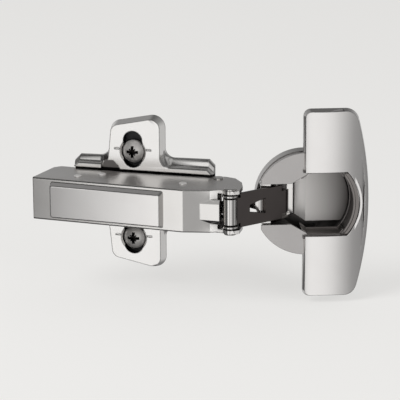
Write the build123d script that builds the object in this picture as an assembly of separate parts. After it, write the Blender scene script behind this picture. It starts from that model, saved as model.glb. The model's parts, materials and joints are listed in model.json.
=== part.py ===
"""Concealed cup hinge, 110 degrees, with clip-on arm, mounting plate and two links.

Frame: the back face of the mounting plate lies in the plane Y = 0 and is fixed to a cabinet side.
+X points to the cabinet front, +Y into the cabinet side, +Z up.
The origin is midway between the two screw slots of the plate.  Units are millimetres.
The hinge is drawn fully open.

Profiles seen along Z are written as (p, q): p is X, and q is the height above the cabinet side (-Y).
The cup is drawn in a frame of its own (u, z, w): u runs along the door away from its hinged edge,
w stands out of the door, and w = 0 is the door's inner face.
"""
from build123d import *
from math import atan2, cos, degrees, hypot, pi, radians, sin
import os

# ---------------------------------------------------------------- driving dimensions
OPEN_ANGLE = 110.0

SCREW_SPACING = 32.0
SCREW_DROP = 0.9
SCREW_SHANK_RADIUS = 3.15
SCREW_NECK_RADIUS = 2.9
SCREW_REACH = 11.0
SCREW_HEAD_RADIUS = 4.1
SCREW_SEAT_RADIUS = 4.35

PLATE_FLOOR = 1.2
PLATE_HEIGHT = 4.0
PLATE_REAR = -22.8
PLATE_FRONT = 29.6

ARM_HALF_WIDTH = 7.7
ARM_WALL = 1.3
ARM_INNER = ARM_HALF_WIDTH - ARM_WALL

OUTER_ARM_PIVOT = (40.3, 19.4)
INNER_ARM_PIVOT = (32.3, 5.4)
CUP_CENTRE_OPEN = (63.5, 2.2)
OUTER_CUP_PIVOT = (-10.407, -7.0)
INNER_CUP_PIVOT = (-14.936, -2.9)
DOOR_TILT = OPEN_ANGLE - 90.0

CUP_RADIUS = 17.5
CUP_NECK_RADIUS = 17.25
CUP_DEPTH = 12.9
CUP_WALL = 1.0
CUP_FLOOR_SHEET = 0.6
FLANGE_RADIUS = 18.5
FLANGE_THICKNESS = 1.0
FLANGE_CHORD = -16.1
CUP_SCREW_SPACING = 52.0
CUP_SCREW_OFFSET = 5.5

ARM_PIN_RADIUS = 1.5
LINK_PIN_RADIUS = 1.25
CUP_PIN_RADIUS = 1.1
RUNNING_GAP = 0.05

LINK_HALF_WIDTH = 6.1
LINK_THICKNESS = 1.2
KNUCKLE_RADIUS = 2.5
KNUCKLE_HALF_WIDTH = 4.6
STRAP_THICKNESS = 1.0

# ---------------------------------------------------------------- frames
PANEL = Plane.XZ.location
CUP = Plane(
    origin=(CUP_CENTRE_OPEN[0], -CUP_CENTRE_OPEN[1], 0),
    x_dir=(cos(radians(DOOR_TILT)), sin(radians(DOOR_TILT)), 0),
    z_dir=(sin(radians(DOOR_TILT)), -cos(radians(DOOR_TILT)), 0),
).location


def cup_point(u, w):
    """The (p, q) place of a point of the cup's own (u, w) profile, with the door open."""
    tilt = radians(DOOR_TILT)
    p = CUP_CENTRE_OPEN[0] + u * cos(tilt) + w * sin(tilt)
    q = CUP_CENTRE_OPEN[1] - u * sin(tilt) + w * cos(tilt)
    return p, q


OUTER_CUP_PIVOT_OPEN = cup_point(*OUTER_CUP_PIVOT)
INNER_CUP_PIVOT_OPEN = cup_point(*INNER_CUP_PIVOT)


# ---------------------------------------------------------------- small tools
def side_face(points):
    """Closed face in the X-Y plane from (p, q) points."""
    return make_face(Polyline([(p, -q) for p, q in points], close=True))


def side_plate(points, low, high):
    """Solid with a (p, q) profile between two heights along Z."""
    return Pos(0, 0, low) * extrude(side_face(points), amount=high - low)


def side_band(points, inner, outer):
    """The same profile twice, above and below the middle plane."""
    return side_plate(points, inner, outer) + side_plate(points, -outer, -inner)


def z_rod(centre, radius, low, high):
    """Round bar along Z at a (p, q) place."""
    p, q = centre
    return Pos(p, -q, (low + high) / 2) * Cylinder(radius, high - low)


def upright_rod(p, z, radius, low, high):
    """Round bar square to the cabinet side, between two heights above it."""
    return Pos(p, -(low + high) / 2, z) * Rot(90, 0, 0) * Cylinder(radius, high - low)


def block(p_range, q_range, z_range):
    """Box between limits along p, q and Z."""
    size = [high - low for low, high in (p_range, q_range, z_range)]
    middle = [(high + low) / 2 for low, high in (p_range, q_range, z_range)]
    return Pos(middle[0], -middle[1], middle[2]) * Box(*size)


def both_sides(shape):
    """A shape and its mirror image in the middle plane Z = 0."""
    return shape + mirror(shape, about=Plane.XY)


def cross_recess(size, depth):
    """Cross-shaped drive recess with four small ribs, opening at z = 0 and running down."""
    slot = Box(size, size * 0.24, depth) + Box(size * 0.24, size, depth)
    ribs = Rot(0, 0, 45) * (Box(size * 0.72, size * 0.11, depth * 0.5) + Box(size * 0.11, size * 0.72, depth * 0.5))
    return Pos(0, 0, -depth / 2) * slot + Pos(0, 0, -depth / 4) * ribs


def write(shape, name):
    """Save one node."""
    solids = shape.solids()
    body = solids[0] if len(solids) == 1 else Compound(children=list(solids))
    body.label = name
    export_step(body, f"parts/{name}.step")


# ---------------------------------------------------------------- mounting plate
WING_DRAFT = 1.1
BAR_STEPS = ((0, 13.6), (0.9, 13.4), (1.5, 12.6), (1.9, 10.9), (3.6, 10.2), (PLATE_HEIGHT, 9.7))
END_CHAMFER = 2.0
REAR_SLIMMING = 0.31
FRONT_SLIMMING = 0.09
HOLLOW_CORNER = 3.4
CHANNEL_HALF_WIDTH = 8.35
SLOT_HALF_TRAVEL = 3.2
SLOT_RADIUS = 3.5
RAIL_HALF_WIDTH = 4.2
RAIL_TOP = 5.6
RAIL_REAR = -19.0
LATCH_NOTCH_END = -16.7
PLATE_SEAT = 2.1
DEPTH_SCREW_P = -12.6
ECCENTRICITY = 1.5


def wing():
    """Plan of one screw wing at the plate's outer face, as a tray with two rounded corners."""
    outline = make_face(Polyline([(-9.7, 7.9), (-8.1, 24.25), (10.05, 27.85), (10.05, 7.9)], close=True))
    corners = outline.vertices().sort_by(Axis.Y)
    outline = fillet(corners[2:3], 3.0)
    return fillet(outline.vertices().sort_by(Axis.Y)[-1:], 3.4)


def plate_plan(bar_half_width, spread):
    """Plan of the plate at one height: the long bar joined to both wings by hollow corners."""
    rear, front = PLATE_REAR, PLATE_FRONT
    flank = bar_half_width - BAR_STEPS[-1][1]
    slim, full = bar_half_width - REAR_SLIMMING * flank, bar_half_width - FRONT_SLIMMING * flank
    half = [(rear, slim - END_CHAMFER), (rear + END_CHAMFER, slim), (front - END_CHAMFER, full), (front, full - END_CHAMFER)]
    bar = make_face(Polyline(half + [(p, -z) for p, z in reversed(half)], close=True))
    side = offset(wing(), spread, kind=Kind.ARC) if spread > 0 else wing()
    plan = bar + side + mirror(side, about=Plane.XZ)
    inner = [v for v in plan.vertices() if abs(v.Y) < bar_half_width + 0.01 and -13 < v.X < 14]
    return fillet(inner, HOLLOW_CORNER)


def mounting_plate():
    """Die-cast plate: a stepped bar with two screw wings and a rail for the carrier."""
    tiers = [
        Pos(0, 0, height) * plate_plan(half_width, WING_DRAFT * (1 - height / PLATE_HEIGHT))
        for height, half_width in BAR_STEPS
    ]
    body = Part() + [PANEL * loft(pair, ruled=True) for pair in zip(tiers, tiers[1:])]
    recess_corner = Polyline([(-12, 7), (-12, 11.4), (-7.4, 11.4), (-5.6, 9.6), (-4.8, 8.25), (-4.8, 7)], close=True)
    body -= both_sides(PANEL * Pos(0, 0, 2.2) * extrude(make_face(recess_corner), amount=3))
    body -= block((-40, 60), (PLATE_FLOOR, 20), (-CHANNEL_HALF_WIDTH, CHANNEL_HALF_WIDTH))
    body += block((RAIL_REAR, 22.0), (PLATE_FLOOR - 0.2, RAIL_TOP), (-RAIL_HALF_WIDTH, RAIL_HALF_WIDTH))
    rail_neck = block((-40, 60), (2.4, 4.2), (3.1, 6.0))
    body -= both_sides(rail_neck)
    body -= block((RAIL_REAR - 1, LATCH_NOTCH_END), (PLATE_FLOOR, 4.2), (-6.0, 6.0))
    body -= PANEL * Pos(DEPTH_SCREW_P, ECCENTRICITY / 2, 4.3) * extrude(Rectangle(3.0, 4.5), amount=3)
    for side in (1, -1):
        body -= PANEL * Pos(0, side * SCREW_SPACING / 2, 0) * slot_cutter()
    return body


def slot_cutter():
    """Upright screw slot with a wider, chamfered seat for the screw head in its middle."""
    slot = extrude(SlotCenterToCenter(2 * SLOT_HALF_TRAVEL, 2 * SLOT_RADIUS, rotation=90), amount=12, both=True)
    seat = Pos(0, -SCREW_DROP, PLATE_SEAT) * Cylinder(SCREW_SEAT_RADIUS, 4, align=(Align.CENTER, Align.CENTER, Align.MIN))
    rim = Pos(0, -SCREW_DROP, PLATE_HEIGHT - 0.5) * Cone(SCREW_SEAT_RADIUS, SCREW_SEAT_RADIUS + 0.75, 0.75, align=(Align.CENTER, Align.CENTER, Align.MIN))
    ticks = Pos(0, 0, PLATE_HEIGHT) * (Pos(-5.9, 0, 0) * Box(1.9, 0.5, 0.6) + Pos(5.9, 0, 0) * Box(1.9, 0.5, 0.6))
    return slot + seat + rim + ticks


def turned(points, crown=None):
    """Solid of revolution about the local Z axis from (radius, height) points, with an optional domed end."""
    edges = Polyline([(0, points[0][1]), *points])
    last = points[-1]
    if crown is None:
        profile = edges + Line(last, (0, last[1])) + Line((0, last[1]), (0, points[0][1]))
    else:
        middle = (last[0] * 0.62, last[1] + (crown - last[1]) * 0.62)
        profile = edges + ThreePointArc(last, middle, (0, crown)) + Line((0, crown), (0, points[0][1]))
    return revolve(Plane.XZ * make_face(profile), Axis.Z)


def plate_screw(side):
    """Panel screw with a domed head and a plain shank; its thread is left off."""
    outline = [
        (1.9, -SCREW_REACH - 1.4),
        (SCREW_SHANK_RADIUS, -SCREW_REACH),
        (SCREW_SHANK_RADIUS, 0),
        (SCREW_NECK_RADIUS, 0),
        (SCREW_NECK_RADIUS, PLATE_SEAT),
        (SCREW_HEAD_RADIUS, PLATE_SEAT),
        (SCREW_HEAD_RADIUS, PLATE_SEAT + 0.9),
    ]
    screw = turned(outline, crown=5.0)
    screw -= Pos(0, 0, 5.2) * cross_recess(4.3, 2.4)
    return PANEL * Pos(0, side * SCREW_SPACING / 2 - SCREW_DROP, 0) * screw


# ---------------------------------------------------------------- carrier and latch
CARRIER_TOP = 7.7
CARRIER_SHEET = 1.1
SIDE_SCREW_P = -3.5
TILT_PIVOT = (-19.2, 10.2)
LEVER_PIVOT = (-23.4, 8.4)
SMALL_PIN_RADIUS = 0.9


def arm_carrier():
    """Bent carrier that slides on the rail of the plate, with ears for the tilting arm and the latch."""
    web = block((-18.0, 20.0), (CARRIER_TOP - CARRIER_SHEET, CARRIER_TOP), (-5.9, 5.9))
    flange = block((-18.5, 18.0), (2.7, CARRIER_TOP), (4.8, 5.9))
    ears = side_plate([(-25.4, 6.2), (-25.4, 9.6), (-21.4, 12.1), (-17.4, 12.1), (-15.8, 7.0), (-18.4, 5.0)], 4.8, 5.9)
    hooks = block((3.0, 14.0), (2.7, 3.8), (3.5, 5.0)) + block((-10.0, -6.0), (2.7, 3.8), (3.5, 5.0))
    body = web + both_sides(flange + ears + hooks)
    body += upright_rod(SIDE_SCREW_P, 0, 3.4, CARRIER_TOP - 0.5, CARRIER_TOP + 2.2)
    body -= upright_rod(DEPTH_SCREW_P, 0, 2.1, 0, 20)
    body -= upright_rod(SIDE_SCREW_P, 0, 2.0, 0, 20)
    body -= block((5.0, 16.0), (6.0, 9.0), (-3.0, 3.0))
    for pivot in (TILT_PIVOT, LEVER_PIVOT):
        body -= z_rod(pivot, SMALL_PIN_RADIUS, -9, 9)
    return body


def release_lever():
    """Latch lever: its toe catches the rear end of the plate's rail, its tail is the finger tab."""
    outline = [
        (-21.7, 7.2),
        (-20.4, 3.95),
        (-18.8, 3.8),
        (-18.8, 2.8),
        (-22.4, 2.8),
        (-24.4, 6.2),
        (-27.6, 5.8),
        (-29.4, 6.6),
        (-30.2, 12.0),
        (-29.0, 12.2),
        (-28.0, 8.0),
        (-25.4, 9.2),
        (-24.2, 10.0),
        (-22.6, 10.0),
        (-21.7, 9.0),
    ]
    body = side_plate(outline, -2.6, 2.6)
    tab = side_plate([(-27.4, 6.0), (-29.4, 6.6), (-30.2, 12.0), (-29.0, 12.2), (-28.1, 7.7)], -5.4, 5.4)
    boss = both_sides(z_rod(LEVER_PIVOT, 1.5, 2.5, 4.7))
    body = body + tab + boss
    body -= z_rod(LEVER_PIVOT, SMALL_PIN_RADIUS + RUNNING_GAP, -9, 9)
    return body


def cross_pin(centre, radius, half_length):
    return z_rod(centre, radius, -half_length, half_length)


def adjuster_block():
    """Block riveted inside the arm; it carries the side screw's head and tilts on the carrier."""
    outline = [
        (-20.6, 12.6),
        (-21.0, 16.6),
        (-18.5, 17.2),
        (0.4, 18.0),
        (0.4, 12.4),
        (-7.0, 12.4),
        (-7.6, 9.0),
        (-11.6, 9.0),
        (-12.6, 12.6),
    ]
    body = side_plate(outline, -ARM_INNER, ARM_INNER)
    lug = [(-20.9, 10.2), (-20.6, 13.0), (-16.8, 13.0), (-17.4, 9.6), (-18.2, 8.65), (-20.2, 8.65)]
    body += side_plate(lug, -4.4, 4.4)
    body -= upright_rod(DEPTH_SCREW_P, 0, 3.3, 0, 30)
    body -= upright_rod(SIDE_SCREW_P, 0, 2.2, 0, 30)
    body -= upright_rod(SIDE_SCREW_P, 0, 3.05, 16.0, 30)
    body -= z_rod(TILT_PIVOT, SMALL_PIN_RADIUS + RUNNING_GAP, -9, 9)
    for rivet in RIVETS:
        body -= both_sides(z_rod(rivet, RIVET_RADIUS, RIVET_DEPTH, 9))
    return body


# ---------------------------------------------------------------- arm
TOP_REAR = (-32.2, 20.33)
TOP_BEND = (24.4, 24.1)
TOP_FACET = (33.7, 22.0)
TOP_FRONT = (36.1, 20.7)
EAR_RADIUS = 2.6
SPRING_PIVOT = (31.6, 15.9)
SPRING_PIN_RADIUS = 1.1
RIVETS = ((-16.9, 15.4), (-9.4, 10.6), (22.2, 16.0))
RIVET_RADIUS = 0.9
RIVET_DEPTH = 3.8
RIVET_HEAD_RADIUS = 1.4
RIVET_HEAD_HEIGHT = 0.5
CAP_REAR = -24.7
CAP_FRONT = 16.6
BEAD_START = 30.3
BEAD_END = 37.3
BEAD_HALF_WIDTH = 4.45


def top_height(p):
    """Height of the arm's outer face above the cabinet side, on its long straight run."""
    rise = (TOP_BEND[1] - TOP_REAR[1]) / (TOP_BEND[0] - TOP_REAR[0])
    return TOP_REAR[1] + rise * (p - TOP_REAR[0])


def lowered(point, amount):
    return point[0], point[1] - amount


def wall_outline():
    """Outline of a side wall of the arm."""
    return [
        TOP_REAR,
        TOP_BEND,
        TOP_FACET,
        TOP_FRONT,
        (38.2, 20.9),
        (42.4, 21.6),
        (43.8, 20.0),
        (43.4, 14.0),
        (41.6, 8.6),
        (38.0, 3.6),
        (34.4, 2.3),
        (30.2, 2.3),
        (27.6, 3.6),
        (20.0, 4.9),
        (-4.9, 4.7),
        (-27.6, 2.4),
        (-29.8, 4.6),
    ]


def hinge_arm():
    """Folded channel: one outer face and two side walls, with ears at the front."""
    wall = side_band(wall_outline(), ARM_INNER, ARM_HALF_WIDTH)
    wall += both_sides(z_rod(OUTER_ARM_PIVOT, EAR_RADIUS, ARM_INNER, ARM_HALF_WIDTH))
    top = [TOP_REAR, TOP_BEND, TOP_FACET, TOP_FRONT]
    top += [lowered(TOP_FRONT, ARM_WALL), lowered(TOP_FACET, ARM_WALL), lowered(TOP_BEND, ARM_WALL)]
    top += [lowered(TOP_REAR, ARM_WALL)]
    face = side_plate(top, -ARM_HALF_WIDTH, ARM_HALF_WIDTH)
    body = wall + face
    long_edges = body.edges().filter_by(lambda e: abs(abs(e.center().Z) - ARM_HALF_WIDTH) < 1e-3)
    long_edges = long_edges.filter_by(lambda e: -e.center().Y > 18.0 and e.center().X < 36.0 and e.length > 2.0)
    body = fillet(long_edges, 0.6)
    bead_plan = [(BEAD_START, 22.8), (BEAD_END, 22.75), (BEAD_END, 20.9), (36.1, 19.6), (33.6, 20.8), (30.0, 21.6)]
    bead = side_plate(bead_plan, -BEAD_HALF_WIDTH, BEAD_HALF_WIDTH)
    bevel = make_face(Polyline([(BEAD_HALF_WIDTH - 1.65, 0.05), (BEAD_HALF_WIDTH + 0.1, 0.05), (BEAD_HALF_WIDTH + 0.1, -1.0)], close=True))
    bevel = Plane(origin=(BEAD_START - 1, -22.8, 0), x_dir=(0, 0, 1), z_dir=(1, 0, 0)) * bevel
    bead -= both_sides(extrude(bevel, amount=BEAD_END - BEAD_START + 2))
    body += bead
    body -= z_rod(OUTER_ARM_PIVOT, ARM_PIN_RADIUS, -9, 9)
    body -= z_rod(INNER_ARM_PIVOT, LINK_PIN_RADIUS, -9, 9)
    for rivet in RIVETS:
        body -= z_rod(rivet, RIVET_RADIUS, -9, 9)
    body -= upright_rod(SIDE_SCREW_P, 0, 3.3, 15, 30)
    body -= upright_rod(DEPTH_SCREW_P, 0, 3.6, 15, 30)
    return body


def arm_cover_cap():
    """Clip-on cap with drafted sides on the arm's outer face."""
    height = 2.6
    middle = (CAP_REAR + CAP_FRONT) / 2
    slope = degrees(atan2(TOP_BEND[1] - TOP_REAR[1], TOP_BEND[0] - TOP_REAR[0]))
    place = Pos(middle, -top_height(middle), 0) * Rot(0, 0, -slope) * Plane.XZ.location
    base = RectangleRounded(CAP_FRONT - CAP_REAR + 1.2, 13.4, 0.7)
    crown = RectangleRounded(CAP_FRONT - CAP_REAR, 11.4, 0.7)
    cap = loft([base, Pos(0, 0, height) * crown])
    cap = fillet(cap.faces().sort_by(Axis.Z)[-1].edges(), 0.35)
    hollow = Pos(0, 0, -0.01) * Box(CAP_FRONT - CAP_REAR - 2.2, 9.2, height - 1.0, align=(Align.CENTER, Align.CENTER, Align.MIN))
    cap -= hollow
    for spot in (-14.0, 9.0):
        cap += Pos(spot, 0, 0) * Box(5, 9.4, height - 0.6, align=(Align.CENTER, Align.CENTER, Align.MIN))
    return place * cap


def headed_pin(centre, radius, head_radius, head_height):
    """Pin through both side walls with a low domed head at each end."""
    pin = z_rod(centre, radius, -ARM_HALF_WIDTH, ARM_HALF_WIDTH)
    head = z_rod(centre, head_radius, ARM_HALF_WIDTH, ARM_HALF_WIDTH + head_height)
    rim = head.edges().filter_by(lambda e: e.center().Z > ARM_HALF_WIDTH + head_height - 1e-3)
    return pin + both_sides(fillet(rim, head_height * 0.55))


def arm_rivets():
    """Three stub rivets in each side wall, tying it to the blocks inside."""
    rivets = []
    for centre in RIVETS:
        shank = z_rod(centre, RIVET_RADIUS, RIVET_DEPTH, ARM_HALF_WIDTH)
        head = z_rod(centre, RIVET_HEAD_RADIUS, ARM_HALF_WIDTH, ARM_HALF_WIDTH + RIVET_HEAD_HEIGHT)
        stub = shank + fillet(head.edges().sort_by(Axis.Z)[-1:], RIVET_HEAD_HEIGHT * 0.6)
        rivets += [stub, mirror(stub, about=Plane.XY)]
    return Compound(children=rivets)


def collar(side):
    """Plain collar on the outer link's pin, between the knuckle and one ear of the arm."""
    low, high = KNUCKLE_HALF_WIDTH + 0.08, ARM_INNER
    ring = z_rod(OUTER_ARM_PIVOT, 2.5, low, high) - z_rod(OUTER_ARM_PIVOT, ARM_PIN_RADIUS, low - 1, high + 1)
    return ring if side > 0 else mirror(ring, about=Plane.XY)


def depth_screw():
    """Eccentric screw: turns in the carrier, and its peg stands in a cross slot of the plate."""
    outline = [(2.05, RAIL_TOP + 0.4), (2.05, CARRIER_TOP + 0.05), (2.9, CARRIER_TOP + 0.05), (2.9, 17.6)]
    peg = Pos(0, ECCENTRICITY, 4.5) * Cylinder(1.1, 2.0, align=(Align.CENTER, Align.CENTER, Align.MIN))
    screw = turned(outline) + peg - Pos(0, 0, 17.6) * cross_recess(3.6, 1.8)
    return PANEL * Pos(DEPTH_SCREW_P, 0, 0) * screw


def side_screw():
    """Side screw: its head turns in the block and its threaded shank climbs in the carrier."""
    outline = [(1.88, RAIL_TOP + 0.5), (1.88, 16.05), (3.0, 16.05), (3.0, 18.3)]
    screw = turned(outline) - Pos(0, 0, 18.3) * cross_recess(3.4, 1.6)
    return PANEL * Pos(SIDE_SCREW_P, 0, 0) * screw


# ---------------------------------------------------------------- damper and closing spring
DAMPER_AXIS = 13.0
PUSHER_FACE = 36.0
SPRING_COIL_RADIUS = 2.3
SPRING_WIRE_RADIUS = 0.42
SPRING_COIL_START = 2.5
SPRING_TURNS = 3
SPRING_PITCH = 0.9
SPRING_BOW = 3.9
SPRING_LEG = 1.6


def p_rod(q, radius, start, end):
    """Round bar along X at a height q, in the middle plane."""
    return Pos((start + end) / 2, -q, 0) * Rot(0, 90, 0) * Cylinder(radius, end - start)


def damper_housing():
    """Moulded block that holds the damper inside the arm."""
    outline = [(1.6, 9.4), (1.6, 18.6), (24.4, 20.4), (27.0, 19.6), (27.0, 9.4)]
    cheek = [(26.5, 13.2), (26.5, 18.9), (32.3, 18.9), (33.8, 16.0), (32.3, 13.4)]
    body = side_plate(outline, -ARM_INNER, ARM_INNER) + side_band(cheek, 5.85, ARM_INNER)
    body -= p_rod(DAMPER_AXIS, 3.35, 2.8, 20.6)
    body -= p_rod(DAMPER_AXIS, 1.6, 20.0, 28.0)
    body -= both_sides(z_rod(RIVETS[2], RIVET_RADIUS, RIVET_DEPTH, 9))
    body -= z_rod(SPRING_PIVOT, SPRING_PIN_RADIUS, -9, 9)
    pocket = block((4.0, 18.0), (17.2, 22.0), (-4.6, 4.6))
    return body - pocket


def damper_cylinder():
    """Oil cylinder, closed at the rear, with a bore for the piston."""
    body = p_rod(DAMPER_AXIS, 3.3, 2.9, 20.5)
    body -= p_rod(DAMPER_AXIS, 2.3, 4.2, 19.0)
    body -= p_rod(DAMPER_AXIS, 0.95, 18.0, 21.0)
    return body


def damper_rod():
    """Piston, rod and pusher in one piece."""
    body = p_rod(DAMPER_AXIS, 0.9, 10.0, PUSHER_FACE - 1.5)
    body += p_rod(DAMPER_AXIS, 2.25, 8.0, 10.5)
    body += p_rod(DAMPER_AXIS, 1.7, PUSHER_FACE - 2.0, PUSHER_FACE)
    return body


def coil_path(place, radius, pitch, turns):
    """Left-hand coil about the Z axis, starting on its -Y side."""
    return place * Rot(0, 0, -90) * Helix(pitch=pitch, height=pitch * turns, radius=radius, lefthand=True)


def wire_along(path, radius):
    """Round wire along a path."""
    return sweep(Plane(origin=path @ 0, z_dir=path % 0) * Circle(radius), path=path)


def closing_spring():
    """Double torsion spring: two coils on a pin, joined by a bow behind the knuckle."""
    p, q = SPRING_PIVOT
    top = q + SPRING_COIL_RADIUS
    start, end = SPRING_COIL_START, SPRING_COIL_START + SPRING_TURNS * SPRING_PITCH
    helix = coil_path(Pos(p, -q, start), SPRING_COIL_RADIUS, SPRING_PITCH, SPRING_TURNS)
    slope = (helix % 0).Z / abs((helix % 0).X)
    bow = FilletPolyline(
        (p + SPRING_BOW, -top, 0),
        (p + SPRING_BOW, -top, start - slope * SPRING_BOW),
        (p, -top, start),
        radius=1.2,
    )
    leg = Line((p, -top, end), (p - SPRING_LEG, -top, end + slope * SPRING_LEG))
    half = wire_along(Wire([*bow.edges(), *helix.edges(), *leg.edges()]), SPRING_WIRE_RADIUS)
    return both_sides(half)


def lever_spring():
    """Two light coils on the bosses of the latch lever."""
    place = Pos(LEVER_PIVOT[0], -LEVER_PIVOT[1], 2.95)
    wound = wire_along(coil_path(place, 2.0, 0.5, 3), 0.2)
    return Compound(children=[wound, mirror(wound, about=Plane.XY)])


# ---------------------------------------------------------------- links
LINK_ANGLE = radians(-52.2)
LINK_ALONG = (cos(LINK_ANGLE), sin(LINK_ANGLE))
LINK_OUT = (-sin(LINK_ANGLE), cos(LINK_ANGLE))
LINK_FACE = 45.1
LINK_END = 33.0
LINK_TIP_HALF_WIDTH = 4.0
WINDOW = (17.0, 23.9)
WINDOW_HALF_WIDTHS = (1.35, 2.75)
TAIL_NOSE = (37.2, 13.0)
TAIL_NOSE_RADIUS = 1.05


def on_link(along, out):
    """(p, q) of a place given along and square to the outer link's plate."""
    p = along * LINK_ALONG[0] + out * LINK_OUT[0]
    q = along * LINK_ALONG[1] + out * LINK_OUT[1]
    return p, q


def link_coordinates(point):
    """Place of a (p, q) point along and square to the outer link's plate."""
    along = point[0] * LINK_ALONG[0] + point[1] * LINK_ALONG[1]
    out = point[0] * LINK_OUT[0] + point[1] * LINK_OUT[1]
    return along, out


def outer_link():
    """Outer link: rolled knuckle, flat plate with a window, and two hooked eyes in the cup."""
    knuckle_along = link_coordinates(OUTER_ARM_PIVOT)[0]
    eye_along, eye_out = link_coordinates(OUTER_CUP_PIVOT_OPEN)
    back = LINK_FACE - LINK_THICKNESS
    shoulder = knuckle_along + 3.5

    def band(start, end, half_width):
        corners = [on_link(start, LINK_FACE), on_link(end, LINK_FACE), on_link(end, back), on_link(start, back)]
        return side_plate(corners, -half_width, half_width)

    body = z_rod(OUTER_ARM_PIVOT, KNUCKLE_RADIUS, -KNUCKLE_HALF_WIDTH, KNUCKLE_HALF_WIDTH)
    body += band(knuckle_along + 1.6, shoulder + 0.5, KNUCKLE_HALF_WIDTH)
    body += band(shoulder, LINK_END - 1.8, LINK_HALF_WIDTH)
    nose = [
        on_link(LINK_END - 2.0, LINK_FACE),
        on_link(LINK_END, LINK_FACE),
        on_link(LINK_END + 0.95, LINK_FACE - 0.25),
        on_link(LINK_END + 1.85, LINK_FACE - 0.85),
    ]
    body += side_plate([*nose, on_link(LINK_END - 2.0, back)], -LINK_TIP_HALF_WIDTH, LINK_TIP_HALF_WIDTH)
    cheek = [
        on_link(eye_along - 2.6, back + 0.2),
        *nose,
        on_link(eye_along + 2.0, eye_out + 0.6),
        on_link(eye_along + 1.2, eye_out - 1.6),
        on_link(eye_along - 1.2, eye_out - 1.6),
        on_link(eye_along - 2.05, eye_out + 0.6),
    ]
    body += side_band(cheek, 2.5, LINK_TIP_HALF_WIDTH)
    body += both_sides(z_rod(OUTER_CUP_PIVOT_OPEN, 2.1, 2.5, LINK_TIP_HALF_WIDTH))
    tail = [(39.8, 18.0), (38.6, 18.1), (36.3, 13.5), TAIL_NOSE, (38.1, 12.6), (40.6, 17.4)]
    body += side_plate(tail, -1.8, 1.8) + z_rod(TAIL_NOSE, TAIL_NOSE_RADIUS, -1.8, 1.8)
    near, far = WINDOW
    narrow, wide = WINDOW_HALF_WIDTHS
    window = Polyline([(near, narrow), (far, wide), (far, -wide), (near, -narrow)], close=True)
    p, q = on_link(0, back - 1)
    lay = Plane(origin=(p, -q, 0), x_dir=(LINK_ALONG[0], -LINK_ALONG[1], 0), z_dir=(LINK_OUT[0], -LINK_OUT[1], 0)).location
    body -= lay * extrude(make_face(window), amount=LINK_THICKNESS + 2)
    body -= z_rod(OUTER_ARM_PIVOT, ARM_PIN_RADIUS + RUNNING_GAP, -9, 9)
    body -= z_rod(OUTER_CUP_PIVOT_OPEN, CUP_PIN_RADIUS + RUNNING_GAP, -9, 9)
    return body


STRAP_RISE = 4.2
STRAP_REACH = 12.6
STRAP_LEAN = 0.35
WINDOW_LOOP = ((-16.19, 0.0), (-14.3, -0.32), (-12.6, 0.4), (-12.5, 1.2), (-13.6, 1.53), (-15.2, 1.1))


def inner_link():
    """Inner link: a bent strap that hooks round the outer link's pin, with two slotted cheeks in the arm."""
    pivot = INNER_CUP_PIVOT_OPEN
    run = (pivot[0] - INNER_ARM_PIVOT[0], pivot[1] - INNER_ARM_PIVOT[1])
    turn = atan2(run[1], run[0])

    def place(x, y):
        return pivot[0] + x * cos(turn) - y * sin(turn), pivot[1] + x * sin(turn) + y * cos(turn)

    path = FilletPolyline(
        *[(place(x, y)[0], -place(x, y)[1]) for x, y in ((0, 0), (STRAP_LEAN, STRAP_RISE), (-STRAP_REACH, STRAP_RISE))],
        radius=1.1,
    )
    strap = Pos(0, 0, -5.6) * extrude(trace(path, line_width=STRAP_THICKNESS), amount=11.2)
    plan = [(3, 2.3), (1.4, 2.3), (-3.8, 1.1), (-5.6, 1.3), (-8.4, 5.6), (-STRAP_REACH - 1, 5.6)]
    keep = Polyline(plan + [(x, -z) for x, z in reversed(plan)], close=True)
    lay = Plane(
        origin=(pivot[0], -pivot[1], 0),
        x_dir=(cos(turn), -sin(turn), 0),
        z_dir=(-sin(turn), -cos(turn), 0),
    ).location
    strap &= lay * Pos(0, 0, -3) * extrude(make_face(keep), amount=12)
    eye = z_rod(pivot, 2.05, -2.2, 2.2)
    body = strap + eye
    cheek_points = [
        (-8.8, STRAP_RISE + 0.5),
        (-STRAP_REACH, STRAP_RISE + 0.5),
        (-18.2, 1.6),
        (-18.5, 0.0),
        (-17.8, -1.6),
        (-16.2, -2.2),
        (-14.2, -2.5),
        (-11.6, -1.6),
        (-10.4, 0.4),
        (-9.6, 2.2),
    ]
    body += side_band([place(x, y) for x, y in cheek_points], 4.4, 5.6)
    hole = LINK_PIN_RADIUS + 0.25
    loop = side_plate([place(x, y) for x, y in WINDOW_LOOP], -6, 6)
    for x, y in WINDOW_LOOP:
        loop += z_rod(place(x, y), hole, -6, 6)
    for start, end in zip(WINDOW_LOOP, WINDOW_LOOP[1:] + WINDOW_LOOP[:1]):
        loop += bridge(place(*start), place(*end), hole)
    body -= loop
    body -= z_rod(pivot, CUP_PIN_RADIUS + RUNNING_GAP, -9, 9)
    return body


def bridge(start, end, radius):
    """Straight bar of the width of a hole between two (p, q) places."""
    length = hypot(end[0] - start[0], end[1] - start[1])
    angle = atan2(end[1] - start[1], end[0] - start[0])
    across = (-sin(angle) * radius, cos(angle) * radius)
    points = [
        (start[0] + across[0], start[1] + across[1]),
        (end[0] + across[0], end[1] + across[1]),
        (end[0] - across[0], end[1] - across[1]),
        (start[0] - across[0], start[1] - across[1]),
    ]
    return side_plate(points, -6, 6) if length > 0 else None


# ---------------------------------------------------------------- cup
FLOOR = -CUP_DEPTH + CUP_FLOOR_SHEET
NEAR_WALL_DEPTH = 6.2
PIN_HALF_LENGTH = 6.9
INSERT_TOP = -8.1
INSERT_SHEET = 1.0
INSERT_REACH = 15.85
LINER_DEPTH = 6.1


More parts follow.
